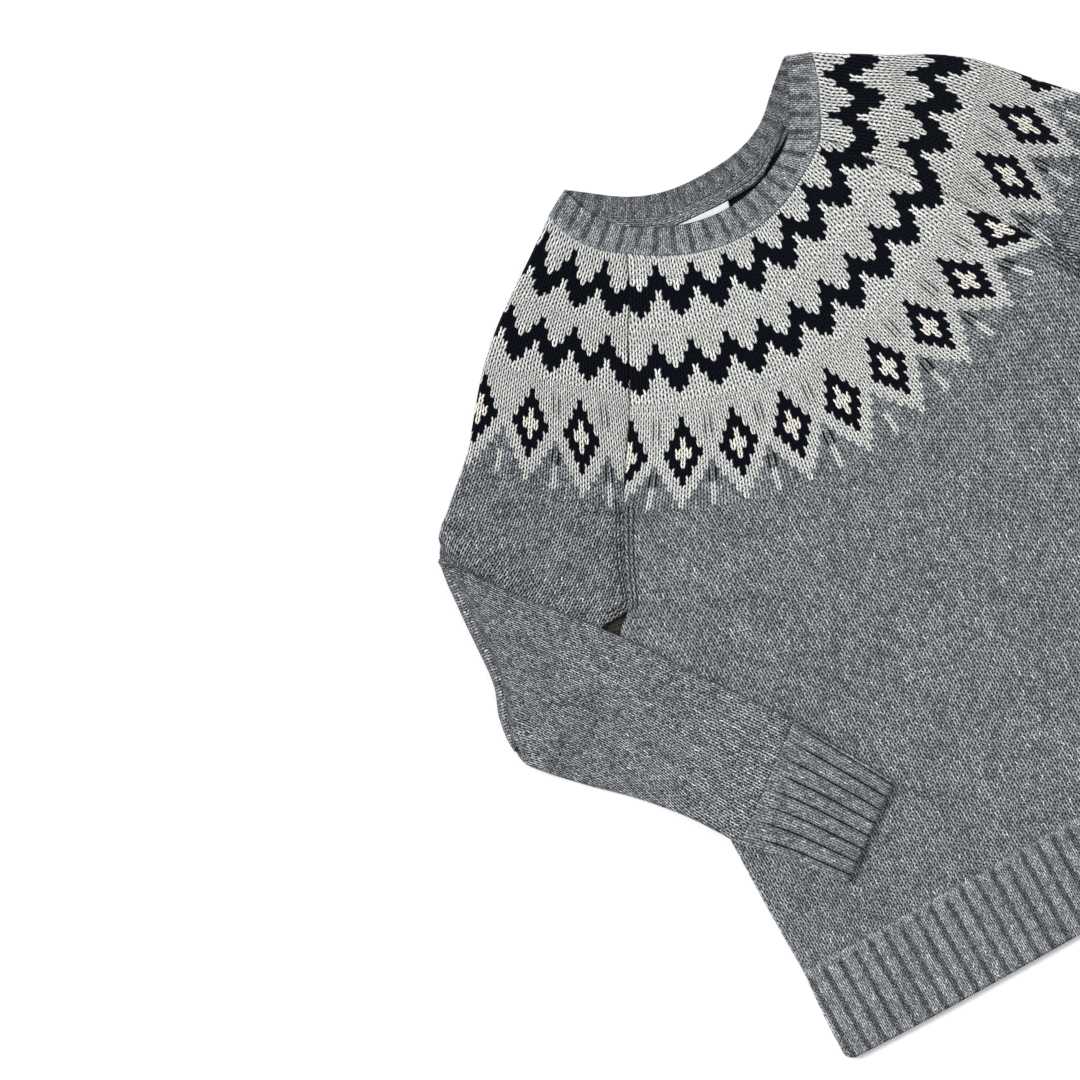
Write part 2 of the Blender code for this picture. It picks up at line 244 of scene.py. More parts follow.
# Soft ridges and troughs of the laid front: ends (x, drop), half width, height
CREASES = (
    (-150.0, 330.0, -60.0, 380.0, 26.0, 1.0),
    (60.0, 300.0, 190.0, 350.0, 30.0, 1.3),
    (-60.0, 470.0, 60.0, 440.0, 34.0, 0.9),
    (-200.0, 560.0, -110.0, 540.0, 24.0, 0.9),
    (120.0, 560.0, 210.0, 520.0, 26.0, 1.0),
    (-40.0, 130.0, 40.0, 150.0, 22.0, 0.8),
    (90.0, 200.0, 130.0, 150.0, 18.0, 0.9),
    (-130.0, 240.0, -90.0, 180.0, 18.0, 0.8),
)

# Where the cut's origin lies in the frame
hem_low, hem_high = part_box("hem_front")
ORIGIN_X = (hem_low[0] + hem_high[0]) / 2.0 / MM - BODY_SHIFT
ORIGIN_Y = hem_low[1] / MM + HEM_ROWS[-1][2]

# Knitting
STEP = 3.0                      # spacing of the mesh
RIB_STEP = 2.4
BODY_COLUMNS = 150
HEM_COLUMNS = 300
EDGE_COLUMNS = 7                # columns of a layer's rolled edge
FRONT_COUNT = 44                # columns over a sleeve's upper layer, and its lower one
BACK_COUNT = 40
CUFF_COUNT = 90
NECK_FRONT_COLUMNS = 110
NECK_BACK_COLUMNS = 80
NECK_SIDE_COUNT = 16
NECK_STEPS = 14                 # rows of the neckband's mesh
YOKE_CENTRE = 5.5               # middle of the motifs, across the laid yoke
OVER_TURN = 6.9                 # how far the sleeve's fold lies behind its motifs' middle
SLEEVE_GAUGE = 0.93             # sleeve stitches beside the body's
RIB_PERIOD = 13.1
RIB_DEPTH = 1.0
HEM_RIB_SHIFT = 217.0           # brings the grooves of the ribbing to their places
CUFF_RIB_PERIOD = 11.0
CUFF_RIB_SHIFT = 2.0
CUFF_HALF = 86.0                # width of one layer of a cuff's knitting
FAR = 40.0                      # a distance from a seam where it no longer shows
SEAM_DIP = 0.6
SEAM_REACH = 2.2
LIP = 2.0                       # rounding of an open edge
TUCK = 0.8                      # how far ribbing runs under the edge it is joined to
FLOOR_GAP = 0.0005              # in metres


def mix(a, b, share):
    """The value that lies a share of the way from a to b."""
    return a + (b - a) * share


def smooth(start, end, value):
    """0 before start, 1 after end and an even S between them."""
    t = np.clip((value - start) / (end - start), 0.0, 1.0)
    return t * t * (3.0 - 2.0 * t)


def laid(across, drop):
    """Where points of the even cut come to lie on the table, as (x, y)."""
    shift = mix(NECK_SHIFT, BODY_SHIFT, smooth(0.0, SHIFT_END, drop))
    fade = 1.0 - smooth(250.0, 420.0, drop)
    lift = SHOULDER_LIFT * smooth(40.0, 160.0, across)
    lift = lift - (SHOULDER_LIFT - ARM_LIFT) * smooth(180.0, 240.0, across)
    ease = COLLAR_EASE * smooth(0.0, 28.0, drop)
    ease = ease + (YOKE_EASE - COLLAR_EASE) * smooth(45.0, 80.0, drop)
    x = across + shift + ease * smooth(50.0, 90.0, across) * fade
    return x, -(drop - lift * fade)


def ease_through(table, t):
    """Rows of a table at the positions t, on smooth curves that never overshoot."""
    table = np.array(table, float)
    slopes = np.diff(table, axis=0)
    before, after = slopes[:-1], slopes[1:]
    product = before * after
    total = np.where(product > 0.0, before + after, 1.0)
    inner = np.where(product > 0.0, 2.0 * product / total, 0.0)
    tangents = np.vstack([slopes[:1], inner, slopes[-1:]])
    low = np.minimum(t.astype(int), len(table) - 2)
    s = (t - low)[:, None]
    rise = s * s * (3.0 - 2.0 * s)
    lead = s * (1.0 - s) ** 2
    trail = -s * s * (1.0 - s)
    return mix(table[low], table[low + 1], rise) + lead * tangents[low] + trail * tangents[low + 1]


def stations(lengths, step=STEP):
    """Positions along a table whose rows lie the given lengths apart."""
    parts = [np.linspace(i, i + 1, max(math.ceil(length / step), 1), endpoint=False)
             for i, length in enumerate(lengths)]
    return np.concatenate(parts + [np.array([float(len(lengths))])])


def edge_profile(turned):
    """Inset and rise of the columns of a layer's edge, one row for each turn."""
    angle = np.radians(np.linspace(4.0, 90.0, EDGE_COLUMNS))[None, :]
    flat = np.linspace(0.0, 1.0, EDGE_COLUMNS)[None, :]
    inset = mix(flat, 1.0 - np.cos(angle), turned[:, None]) * EDGE_RADIUS
    rise = mix(np.ones_like(flat), np.sin(angle), turned[:, None]) * EDGE_RADIUS
    return inset, rise


def seam_dip(distance, turned):
    """How far the cloth is drawn down beside a flat seam."""
    return SEAM_DIP * np.exp(-(distance / SEAM_REACH) ** 2) * (1.0 - turned)


def panel(rows, count, face):
    """Points of the front (face 1) or back (face -1) on a grid of rows and columns."""
    half = rows[:, 0:1]
    turned = rows[:, 4]
    inset, rise = edge_profile(turned)
    left = -(half - inset)
    inner = half - EDGE_RADIUS
    middle = mix(-inner, inner, np.linspace(0.0, 1.0, count + 1)[None, 1:-1])
    across = np.hstack([left, middle, -left[:, ::-1]])
    flat = np.full_like(middle, EDGE_RADIUS)
    height = np.hstack([rise, flat, rise[:, ::-1]])
    share = np.minimum(np.abs(across) / rows[:, 0:1], 1.0) ** rows[:, 3:4]
    drop = mix(rows[:, 2:3], rows[:, 1:2], share)
    height = height - seam_dip(rows[:, 0:1] - np.abs(across), turned[:, None])
    x, y = laid(across, drop)
    return np.dstack([x, y, EDGE_RADIUS + face * height]), across, drop


def ring_columns(width_front, width_back, turned, front_count, back_count, over_count=8):
    """Distance from the over edge, height, turn to the back layer and arc of each
    column round a sleeve, one row of each for every row of the sleeve."""
    inset, rise = edge_profile(turned)
    wf = width_front[:, None]
    wb = width_back[:, None]
    front = mix(wf - EDGE_RADIUS, EDGE_RADIUS, np.linspace(0.0, 1.0, front_count + 1)[None, 1:])
    back = mix(EDGE_RADIUS, wb - EDGE_RADIUS, np.linspace(0.0, 1.0, back_count + 1)[None, :-1])
    turn = np.linspace(0.0, 1.0, over_count + 1)[None, 1:-1]
    over = EDGE_RADIUS * (1.0 - np.sin(math.pi * turn)) + 0.0 * wf
    over_height = EDGE_RADIUS * (1.0 + np.cos(math.pi * turn)) + 0.0 * wf
    distance = np.hstack([wf - inset, front, over, back, wb - inset[:, ::-1]])
    top = LAID - seam_dip(inset, turned[:, None]) - EDGE_RADIUS + rise
    low = seam_dip(inset, turned[:, None]) + EDGE_RADIUS - rise
    height = np.hstack([top, 0.0 * front + LAID, over_height, 0.0 * back, low[:, ::-1]])
    height[:, :EDGE_COLUMNS] = EDGE_RADIUS + rise - seam_dip(inset, turned[:, None])
    layer = np.hstack([0.0 * inset, 0.0 * front, turn + 0.0 * wf, 0.0 * back + 1.0,
                       0.0 * inset + 1.0])
    quarter = math.pi / 2.0 * EDGE_RADIUS
    arc = np.hstack([wf - inset - EDGE_RADIUS + quarter, front - EDGE_RADIUS + quarter,
                     quarter * (1.0 - 2.0 * turn) + 0.0 * wf, EDGE_RADIUS - back - quarter,
                     EDGE_RADIUS - (wb - inset[:, ::-1]) - quarter])
    return distance, height, layer, arc


def across_row(over, end, distance, bow):
    """Points at distances from the over edge, on rows bowed down the arm."""
    span = end - over
    length = np.linalg.norm(span, axis=1)[:, None]
    share = distance / length
    outward = np.stack([span[:, 1], -span[:, 0]], axis=1) / length
    reach = bow[:, None] * 4.0 * share * (1.0 - share)
    across = over[:, 0:1] + span[:, 0:1] * share + outward[:, 0:1] * reach
    drop = over[:, 1:2] + span[:, 1:2] * share + outward[:, 1:2] * reach
    return across, drop, share


def arm_rings(over, front, back, bow, turned, front_count, back_count, over_count=8):
    """Across, drop, height, layer, arc and share of the columns round rows of a sleeve."""
    width_front = np.linalg.norm(front - over, axis=1)
    width_back = np.linalg.norm(back - over, axis=1)
    columns = ring_columns(width_front, width_back, turned, front_count, back_count, over_count)
    distance, height, layer, arc = columns
    top = across_row(over, front, distance, bow)
    under = across_row(over, back, distance, 0.0 * bow)
    across, drop, share = (mix(a, b, layer) for a, b in zip(top, under))
    return across, drop, height, layer, arc, share


def side_half(drop):
    """Half width of the body at drops below the armpit."""
    return np.interp(drop, [row[1] for row in FRONT_ROWS[6:]], [row[0] for row in FRONT_ROWS[6:]])


def forearm_height(across, drop):
    """How high the folded forearm's underside lies."""
    start = np.array(UNDERARM_ROWS[1][2:4])
    along = np.array(ELBOW_UNDER) - start
    along = along / np.linalg.norm(along)
    past_arm = (across - start[0]) * -along[1] + (drop - start[1]) * along[0]
    past_body = across - side_half(drop)
    end = DRAPE_START + DRAPE_RUN
    open_share = smooth(DRAPE_START, end, past_arm) * smooth(DRAPE_START, end, past_body)
    return FOREARM_LIFT * (1.0 - open_share)


def grid_normals(points, closed):
    """A normal at every point of a grid."""
    if closed:
        around = np.roll(points, -1, axis=1) - np.roll(points, 1, axis=1)
    else:
        around = np.gradient(points, axis=1)
    normals = np.cross(around, np.gradient(points, axis=0))
    return normals / np.maximum(np.linalg.norm(normals, axis=2, keepdims=True), 1e-9)


def shell(name, points, knit, round_length=0.0, up_at=(0, 0), up=1.0, relief=None,
          wall=SHELL_WALL, edge=None):
    """A shell of cloth on a grid of points, with its knitting coordinates as a UV map.

    round_length is the length of knitting round a closed grid, and 0 for an open one. up
    says whether the outer face looks up or down at the grid place up_at, relief is how far
    each point stands off the cloth's even surface, and edge has each point's distance from
    the raglan seam and its share rolled over a fold.
    """
    rows, columns = points.shape[:2]
    closed = round_length > 0.0
    normals = grid_normals(points, closed)
    flipped = normals[up_at][2] * up < 0.0
    if flipped:
        normals = -normals
    if relief is not None:
        points = points + normals * relief[:, :, None]
    steps = columns if closed else columns - 1
    row, column = np.meshgrid(np.arange(rows - 1), np.arange(steps), indexing="ij")
    following = (column + 1) % columns
    corners = np.stack([row * columns + column, row * columns + following,
                        (row + 1) * columns + following, (row + 1) * columns + column], axis=-1)
    corners = corners.reshape(-1, 4)
    if flipped:
        corners = corners[:, ::-1]
    places = points.reshape(-1, 3) * MM
    places[:, 0] += ORIGIN_X * MM
    places[:, 1] += ORIGIN_Y * MM
    mesh = bpy.data.meshes.new(name)
    mesh.from_pydata(places.tolist(), [], corners.tolist())
    uv = knit.reshape(-1, 2)[corners.reshape(-1)]
    if closed:
        # the last column's faces reach the first column's points, one full round on
        last = (column.reshape(-1) == columns - 1)
        ahead = np.zeros((len(corners), 4), bool)
        ahead[last] = (corners[last] % columns) == 0
        uv[ahead.reshape(-1), 0] += round_length
    layer = mesh.uv_layers.new(name="knit")
    layer.data.foreach_set("uv", uv.reshape(-1).astype(np.float32))
    if edge is not None:
        seam = edge.reshape(-1, 2)[corners.reshape(-1)]
        layer = mesh.uv_layers.new(name="seam")
        layer.data.foreach_set("uv", seam.reshape(-1).astype(np.float32))
    mesh.shade_smooth()
    piece = bpy.data.objects.new(name, mesh)
    bpy.context.scene.collection.objects.link(piece)
    thickness = piece.modifiers.new("wall", "SOLIDIFY")
    thickness.thickness = wall * MM
    thickness.offset = -1.0
    thickness.material_offset = 1
    return piece


def front_courses(x, y):
    """Courses counted down to places on the laid front. They hang lowest near the middle."""
    out = (np.abs(x - COURSE_CENTRE) / SAG_AT) ** 1.9
    levels = [row[0] for row in COURSE_SAG]
    sags = [row[1] for row in COURSE_SAG]
    level = -y
    for _ in range(SAG_ROUNDS):
        level = mix(level, -y + np.interp(level, levels, sags) * out, 0.6)
    return np.interp(level, [row[0] for row in COURSES], [row[1] for row in COURSES])


def motif_place(x, half):
    """The knitting's across coordinate on the front or back, in millimetres. The wales
    lie a little closer near the raglan seams."""
    place = x - YOKE_CENTRE
    closer = np.where(place < 0.0, 0.045, 0.012)
    return place * (1.0 + closer * np.minimum(np.abs(place) / half, 1.0) ** 3.0)


def build_body():
    """The front and the back, from the neckband seam to the hem seam."""
    lengths = np.abs(np.diff([row[2] for row in FRONT_ROWS]))
    pieces = []
    for name, table, face in (("front", FRONT_ROWS, 1.0), ("back", BACK_ROWS, -1.0)):
        t = stations(lengths)
        rows = ease_through(table, t)
        centre = ease_through(FRONT_ROWS, t)[:, 2]
        courses = np.interp(centre, [c[0] for c in COURSES], [c[1] for c in COURSES])
        points, across = panel(rows, BODY_COLUMNS, face)[:2]
        first = np.minimum(t[:, None] * 6.0, 1.0)
        points[:, :, 2] -= face * 0.3 * (1.0 - first)
        x = points[:, :, 0]
        counted = courses[:, None] + 0.0 * x
        if face > 0:
            counted = front_courses(x, points[:, :, 1])
        knit = np.dstack([motif_place(x, rows[:, 0:1]), counted])
        distance = np.where(rows[:, 4:5] < 0.01, rows[:, 0:1] - np.abs(across), FAR)
        edge = np.dstack([distance, 0.0 * distance])
        relief = body_relief(points) if face > 0 else None
        middle = (len(rows) // 2, points.shape[1] // 2)
        pieces.append(shell(name + "_knit", points, knit, up_at=middle, up=face, relief=relief,
                            edge=edge))
    return pieces


def body_relief(points):
    """Height of the soft creases over the front."""
    x = points[:, :, 0]
    drop = -points[:, :, 1]
    total = 0.0 * x
    for x0, y0, x1, y1, width, height in CREASES:
        dx, dy = x1 - x0, y1 - y0
        length = math.hypot(dx, dy)
        along = ((x - x0) * dx + (drop - y0) * dy) / length
        beside = ((x - x0) * -dy + (drop - y0) * dx) / length
        past = np.maximum(np.maximum(-along, along - length), 0.0)
        total = total + height * np.exp(-(beside ** 2 + past ** 2) / width ** 2)
    return total


def rib(place, period, groove_share=0.38):
    """0 on a rib and 1 in the middle of a groove, at places across the ribs."""
    phase = np.abs(place / period - np.round(place / period)) * 2.0
    return 1.0 - smooth(groove_share * 0.35, groove_share * 1.5, phase)


def build_hem():
    """The ribbed hem, one piece on the front and one on the back."""
    lengths = np.abs(np.diff([row[2] for row in HEM_ROWS]))
    pieces = []
    for name, face in (("hem_front", 1.0), ("hem_back", -1.0)):
        t = stations(lengths, RIB_STEP)
        rows = ease_through(HEM_ROWS, t)
        rows[0, 1:3] -= TUCK
        points, _, drop = panel(rows, HEM_COLUMNS, face)
        place = points[:, :, 0] + HEM_RIB_SHIFT
        end = rows[-1, 2] - rows[:, 2:3]
        start = rows[:, 2:3] - HEM_ROWS[0][2]
        groove = rib(place, RIB_PERIOD)
        relief = -RIB_DEPTH * groove * smooth(-2.0, 8.0, start) * smooth(-2.0, 5.0, end)
        relief = relief - 1.2 * (1.0 - smooth(0.0, LIP, end))
        relief = relief - 0.15 * (1.0 - smooth(-1.0, 0.0, start)) + 0.25
        knit = np.dstack([place, (drop - HEM_ROWS[0][2]) / COURSE])
        middle = (len(rows) // 2, points.shape[1] // 2)
        pieces.append(shell(name + "_rib", points, knit, up_at=middle, up=face, relief=relief))
    return pieces


def upper_arm_rows():
    """Rows from the neckband seam to the elbow, as one table."""
    rows = []
    for arm, front, back in zip(RAGLAN_ROWS, FRONT_ROWS, BACK_ROWS):
        over, bow, counts = arm[:2], arm[2], arm[3:]
        rows.append(over + front[:2] + back[:2] + (bow, 0.0) + counts)
    for row in UNDERARM_ROWS:
        rows.append(row[:2] + row[2:4] + row[2:4] + (0.0, row[4]) + row[5:])
    over, under = (tuple(point) for point in elbow_base()[:2])
    rows.append(over + under + under + (0.0, 1.0) + ELBOW_COURSES + (ELBOW_BOW,))
    return rows


def elbow_base():
    """The row of the sleeve where the elbow fold starts, and the fold's outward side."""
    over = np.array(ELBOW_OVER)
    under = np.array(ELBOW_UNDER)
    along = (under - over) / np.linalg.norm(under - over)
    outward = np.array([along[1], -along[0]])
    return over - outward * FOLD_CENTRE, under - outward * FOLD_CENTRE, outward


def row_lengths(rows, first, second):
    """The longer of the distances between rows at two of their points."""
    table = np.array(rows)
    one = np.linalg.norm(np.diff(table[:, first:first + 2], axis=0), axis=1)
    two = np.linalg.norm(np.diff(table[:, second:second + 2], axis=0), axis=1)
    return np.maximum(one, two)


def corner_share(share):
    """How much of the elbow fold's roundness is left towards its two ends."""
    return mix(1.0, 0.3, smooth(0.78, 1.0, share)) * mix(0.2, 1.0, smooth(0.0, 0.16, share))


def moved_out(share, near, around):
    """How far the rows beside the elbow fold move out: a little where the fold is less
    round, for the nearest rows, and by the fold line's own curve, for the rows around."""
    line = np.interp(share, [row[0] for row in ELBOW_LINE], [row[1] for row in ELBOW_LINE])
    return FOLD_CENTRE * (1.0 - corner_share(share)) * near + line * around


def row_width(rows):
    """Length of the front rows of a sleeve."""
    return np.linalg.norm(rows[:, 2:4] - rows[:, 0:2], axis=1)[:, None]


def ring_knit(arc, share, over_courses, end_courses, bow):
    """Knitting coordinates round rows of a sleeve."""
    courses = mix(over_courses[:, None], end_courses[:, None], share)
    courses = courses + bow[:, None] / COURSE * 4.0 * share * (1.0 - share)
    return (arc - OVER_TURN) / SLEEVE_GAUGE, courses


def sleeve_grid():
    """Across, drop, height and knitting coordinates of a whole sleeve."""
    upper = upper_arm_rows()
    t = stations(row_lengths(upper, 0, 2))
    rows = ease_through(upper, t)
    parts = []
    ring = arm_rings(rows[:, 0:2], rows[:, 2:4], rows[:, 4:6], rows[:, 6], rows[:, 7],
                     FRONT_COUNT, BACK_COUNT)
    across, drop, height, _, arc, share = ring
    u, v = ring_knit(arc, share, rows[:, 8], rows[:, 9], rows[:, 10])
    outward = elbow_base()[2]
    last = len(upper) - 1.0
    nearing = moved_out(share, smooth(last - 1.0, last, t)[:, None],
                        smooth(last - 2.5, last, t)[:, None])
    distance = np.where(rows[:, 7:8] < 0.3, (1.0 - share) * row_width(rows), FAR)
    edge = np.dstack([distance, 0.0 * distance])
    parts.append((across + outward[0] * nearing, drop + outward[1] * nearing, height, u, v, edge))
    # the fold
    over, under, outward = elbow_base()
    angles = np.linspace(0.0, math.pi, 13)[1:]
    one = np.ones_like(angles)
    ring = arm_rings(one[:, None] * over, one[:, None] * under, one[:, None] * under, 0.0 * one,
                     one, FRONT_COUNT, BACK_COUNT)
    across, drop, height, _, arc, share = ring
    radius = FOLD_CENTRE - height
    reach = radius * np.sin(angles)[:, None] * corner_share(share) + moved_out(share, 1.0, 1.0)
    u, v = ring_knit(arc, share, one * ELBOW_COURSES[0], one * ELBOW_COURSES[1], one * ELBOW_BOW)
    v = v + angles[:, None] * radius / COURSE
    parts.append((across + outward[0] * reach, drop + outward[1] * reach,
                  FOLD_CENTRE - radius * np.cos(angles)[:, None], u, v,
                  np.dstack([FAR + 0.0 * v, np.sin(angles)[:, None] ** 2 + 0.0 * v])))
    # the forearm, counted by the lengths of its edges
    fore = [tuple(over) + tuple(under)] + list(FOREARM_ROWS)
    t = stations(row_lengths(fore, 0, 2))[1:]
    rows = ease_through(fore, t)
    counts = []
    for first, begin in ((0, ELBOW_COURSES[0]), (2, ELBOW_COURSES[1])):
        table = np.array(fore)[:, first:first + 2]
        run = np.concatenate([[0.0], np.cumsum(np.linalg.norm(np.diff(table, axis=0), axis=1))])
        count = mix(begin, CUFF_COURSE, run / run[-1])
        counts.append(np.interp(t, np.arange(len(fore)), count))
    one = np.ones(len(t))
    ring = arm_rings(rows[:, 0:2], rows[:, 2:4], rows[:, 2:4], 0.0 * one, one,
                     FRONT_COUNT, BACK_COUNT)
    across, drop, height, _, arc, share = ring
    bow = ELBOW_BOW * (1.0 - smooth(0.0, 5.0, t))
    u, v = ring_knit(arc, share, counts[0], counts[1], bow)
    v = v + math.pi * (FOLD_CENTRE - height) / COURSE
    lifted = LAID - height + forearm_height(across, drop)
    leaving = moved_out(share, 1.0 - smooth(0.0, 1.3, t)[:, None],
                        1.0 - smooth(0.3, 3.5, t)[:, None])
    parts.append((across + outward[0] * leaving, drop + outward[1] * leaving, lifted, u, v,
                  np.dstack([FAR + 0.0 * v, 0.0 * v])))
    return [np.vstack(items) for items in zip(*parts)]


def build_sleeves():
    """Both sleeves, each the mirror of the other in the cut."""
    across, drop, height, u, v, edge = sleeve_grid()
    pieces = []
    for name, side in (("sleeve_left", -1.0), ("sleeve_right", 1.0)):
        x, y = laid(side * across, drop)
        points = np.dstack([x, y, height])
        if side > 0.0:
            # the shoulder that is drawn up is also stretched, and turned on its arm
            stretch = np.array(RIGHT_YOKE)
            v = v + np.interp(v, stretch[:, 0], stretch[:, 1])
            u = u + np.interp(v, stretch[:, 0], stretch[:, 2])
            u = u / np.interp(v, stretch[:, 0], stretch[:, 3])
        knit = np.dstack([u, v])
        pieces.append(shell(name + "_knit", points, knit, up_at=(20, 20), edge=edge))
    return pieces


def build_cuffs():
    """Both ribbed cuffs."""
    t = stations(row_lengths(CUFF_ROWS, 0, 2), RIB_STEP)
    rows = ease_through(CUFF_ROWS, t)
    rows[0] = mix(rows[0], rows[1], -0.3)
    one = np.ones(len(t))
    ring = arm_rings(rows[:, 0:2], rows[:, 2:4], rows[:, 2:4], 0.0 * one, one,
                     CUFF_COUNT, CUFF_COUNT, over_count=10)
    across, drop, height, _, arc, share = ring
    lifted = LAID - height + forearm_height(across, drop)
    run = np.linalg.norm(np.diff(rows[:, 0:2], axis=0), axis=1)
    start = np.concatenate([[0.0], np.cumsum(run)])[:, None] - TUCK
    end = start[-1] - start
    place = share * CUFF_HALF * np.sign(arc) + CUFF_RIB_SHIFT
    groove = rib(place, CUFF_RIB_PERIOD, 0.17)
    late = 4.0 + 4.0 * np.sin(np.round(place / CUFF_RIB_PERIOD) * 2.3)
    deepening = mix(0.3, 1.0, smooth(0.0, 45.0, start - late)) * smooth(0.0, 6.0, start - late)
    relief = -RIB_DEPTH * 1.5 * groove * deepening * smooth(-3.0, 2.0, end)
    relief = relief + 0.5 * deepening * (1.0 - groove) - 0.15 * (1.0 - smooth(-1.0, 0.0, start))
    relief = relief - 1.3 * (1.0 - smooth(0.0, LIP, end))
    pieces = []
    for name, side in (("cuff_left", -1.0), ("cuff_right", 1.0)):
        x, y = laid(side * across, drop)
        points = np.dstack([x, y, lifted])
        knit = np.dstack([place, start / COURSE + 0.0 * place])
        pieces.append(shell(name + "_rib", points, knit, up_at=(3, 20), up=-1.0, relief=relief))
    return pieces


def neck_row(front_row, back_row, over_row):
    """One closed row of the neckband: front, left side, back and right side."""
    over, bow = over_row
    one = np.ones(1)
    ring = arm_rings(np.array([over]), np.array([front_row[:2]]), np.array([back_row[:2]]),
                     one * bow, 0.0 * one, NECK_SIDE_COUNT, NECK_SIDE_COUNT)
    across, drop, height = (item[0] for item in ring[:3])
    sides = []
    for side in (-1.0, 1.0):
        x, y = laid(side * across, drop)
        sides.append(np.stack([x, y, height], axis=1))
    front = panel(np.array([front_row]), NECK_FRONT_COLUMNS, 1.0)[0][0]
    back = panel(np.array([back_row]), NECK_BACK_COLUMNS, -1.0)[0][0]
    front[:, 2] = LAID
    back[:, 2] = 0.0
    sides[0][:EDGE_COLUMNS, 2] = LAID
    sides[0][-EDGE_COLUMNS:, 2] = 0.0
    sides[1][:, 2] = sides[0][:, 2]
    return np.vstack([front[::-1][:-1], sides[0][:-1], back[:-1], sides[1][::-1][:-1]])


def build_neckband():
    """The ribbed neckband, one closed ring."""
    top = neck_row(NECK_TOP_FRONT, NECK_TOP_BACK, NECK_TOP_OVER)
    seam = neck_row(NECK_SEAM_FRONT, NECK_SEAM_BACK, NECK_SEAM_OVER)
    shares = np.linspace(-TUCK / NECKBAND_WIDTH, 1.0, NECK_STEPS)[:, None, None]
    points = mix(seam[None], top[None], shares)
    middle = mix(seam, top, 0.5)
    run = np.linalg.norm(np.diff(np.vstack([middle, middle[:1]]), axis=0), axis=1)
    total = run.sum()
    place = np.concatenate([[0.0], np.cumsum(run)[:-1]])[None, :]
    period = total / round(total / RIB_PERIOD)
    start = shares[:, :, 0] * NECKBAND_WIDTH
    end = NECKBAND_WIDTH - start
    relief = -0.9 * rib(place, period) * smooth(-2.0, 6.0, start) * smooth(-3.0, 4.0, end)
    relief = relief - 1.0 * (1.0 - smooth(0.0, LIP, end)) - 0.25 * (1.0 - smooth(-1.0, 0.0, start))
    relief = relief + 0.3
    knit = np.dstack([place + 0.0 * start, start / COURSE + 0.0 * place])
    return shell("neckband_rib", points, knit, round_length=total, up_at=(4, 55), relief=relief)


def build_neck_trims():
    """The tape over the back neck seam and the bare label below it."""
    edges = np.array(TAPE_EDGES)
    x = np.linspace(edges[0, 0], edges[-1, 0], 120)
    smoothed = ease_through(edges, np.interp(x, edges[:, 0], np.arange(len(edges))))
    share = np.linspace(0.0, 1.0, 13)[:, None]
    drop = mix(smoothed[None, :, 1], smoothed[None, :, 2], share)
    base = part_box("neck_tape")[1][2] / MM
    swell = 0.5 * np.sin(math.pi * share) - 0.3 * np.cos(share * 6.0 * math.pi)
    points = np.dstack([x + 0.0 * drop, -drop, base + swell + 0.0 * drop])
    knit = np.dstack([share * 9.9 + 0.0 * drop, x / COURSE + 0.0 * drop])
    tape = shell("neck_tape_knit", points, knit, up_at=(6, 60), wall=0.9)
    x = np.linspace(LABEL_ENDS[0], LABEL_ENDS[1], 30)
    depth = np.linspace(-1.5, LABEL_DEPTH, 16)[:, None]
    drop = np.interp(x, edges[:, 0], edges[:, 2])[None, :] + depth
    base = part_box("neck_label")[1][2] / MM
    lean = x[None, :] - 0.25 * np.maximum(depth, 0.0)
    wave = 0.25 * np.sin(x / 9.0)[None, :] * np.sin(depth / 6.0)
    points = np.dstack([lean, -drop, base - 0.1 + wave])
    knit = np.dstack([x + 0.0 * drop, depth + 0.0 * drop])
    label = shell("neck_label_cloth", points, knit, up_at=(6, 10), wall=0.5)
    return tape, label


def feed(tree, socket, item):
    """Give a node's input a field, another node's output, or a plain value."""
    item = item.socket if isinstance(item, Field) else item
    if isinstance(item, bpy.types.NodeSocket):
        tree.links.new(item, socket)
    elif socket.type == "RGBA":
        socket.default_value = item + (1.0,)
    else:
        socket.default_value = item


class Field:
    """A value in a material. Arithmetic on it adds the nodes that work it out."""

    def __init__(self, tree, socket):
        self.tree = tree
        self.socket = socket

    def apply(self, operation, *others):
        node = self.tree.nodes.new("ShaderNodeMath")
        node.operation = operation
        for socket, item in zip(node.inputs, (self,) + others):
            feed(self.tree, socket, item)
        return Field(self.tree, node.outputs[0])

    def __add__(self, other):
        return self.apply("ADD", other)

    def __sub__(self, other):
        return self.apply("SUBTRACT", other)

    def __mul__(self, other):
        return self.apply("MULTIPLY", other)

    def __truediv__(self, other):
        return self.apply("DIVIDE", other)

    def floor(self):
        return self.apply("FLOOR")

    def fraction(self):
        return self.apply("FRACT")

    def size(self):
        return self.apply("ABSOLUTE")

    def below(self, limit):
        return self.apply("LESS_THAN", limit)

    def above(self, limit):
        return self.apply("GREATER_THAN", limit)

    def least(self, other):
        return self.apply("MINIMUM", other)

    def most(self, other):
        return self.apply("MAXIMUM", other)

    def folded(self, scale):
        return self.apply("PINGPONG", scale)

    def ramp(self, start, end, low=0.0, high=1.0):
        """low before start, high after end, and a smooth run between."""
        node = self.tree.nodes.new("ShaderNodeMapRange")
        node.interpolation_type = "SMOOTHSTEP"
        names = ("Value", "From Min", "From Max", "To Min", "To Max")
        for name, item in zip(names, (self, start, end, low, high)):
            feed(self.tree, node.inputs[name], item)
        return Field(self.tree, node.outputs["Result"])


